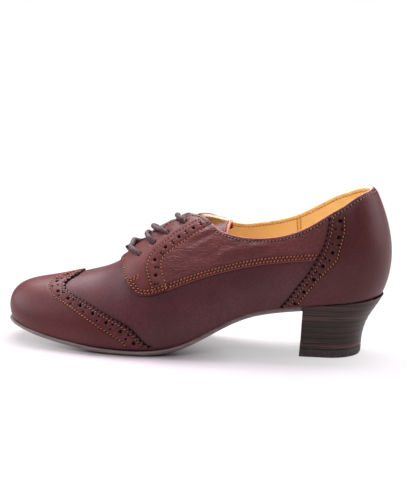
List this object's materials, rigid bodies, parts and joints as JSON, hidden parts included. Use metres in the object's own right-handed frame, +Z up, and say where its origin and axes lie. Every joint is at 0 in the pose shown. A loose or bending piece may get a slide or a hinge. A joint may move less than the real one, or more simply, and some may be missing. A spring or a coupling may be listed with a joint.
{
  "type": "brogue shoe",
  "caption": "Left lace-up derby brogue in dark reddish brown leather, with a winged toe cap, heel counter, laced flaps and a curved block heel.",
  "frame": {"origin": "centre of the bounding box in plan, on the floor that the shoe stands on", "axes": "+X from toe to heel, +Y from the lateral to the medial side, +Z up"},
  "size_m": [0.2536, 0.0862, 0.1076],
  "materials": {
    "upper_leather": "satin",
    "tongue_leather": "satin",
    "insole_leather": "matte",
    "sole_leather": "matte",
    "heel_stack": "satin",
    "top_piece_rubber": "matte",
    "lace_cotton": "matte"
  },
  "bodies": {
    "root": {"upper": "upper_leather", "toe_cap": "upper_leather", "counter": "upper_leather", "quarter_lateral": "upper_leather", "quarter_medial": "upper_leather", "facing_lateral": "upper_leather", "facing_medial": "upper_leather", "tongue": "tongue_leather", "insole": "insole_leather", "outsole": "sole_leather", "heel_block": "heel_stack", "top_piece": "top_piece_rubber", "lace_bar_1": "lace_cotton", "lace_bar_2": "lace_cotton", "lace_bar_3": "lace_cotton", "lace_bar_4": "lace_cotton"}
  },
  "joints": []
}
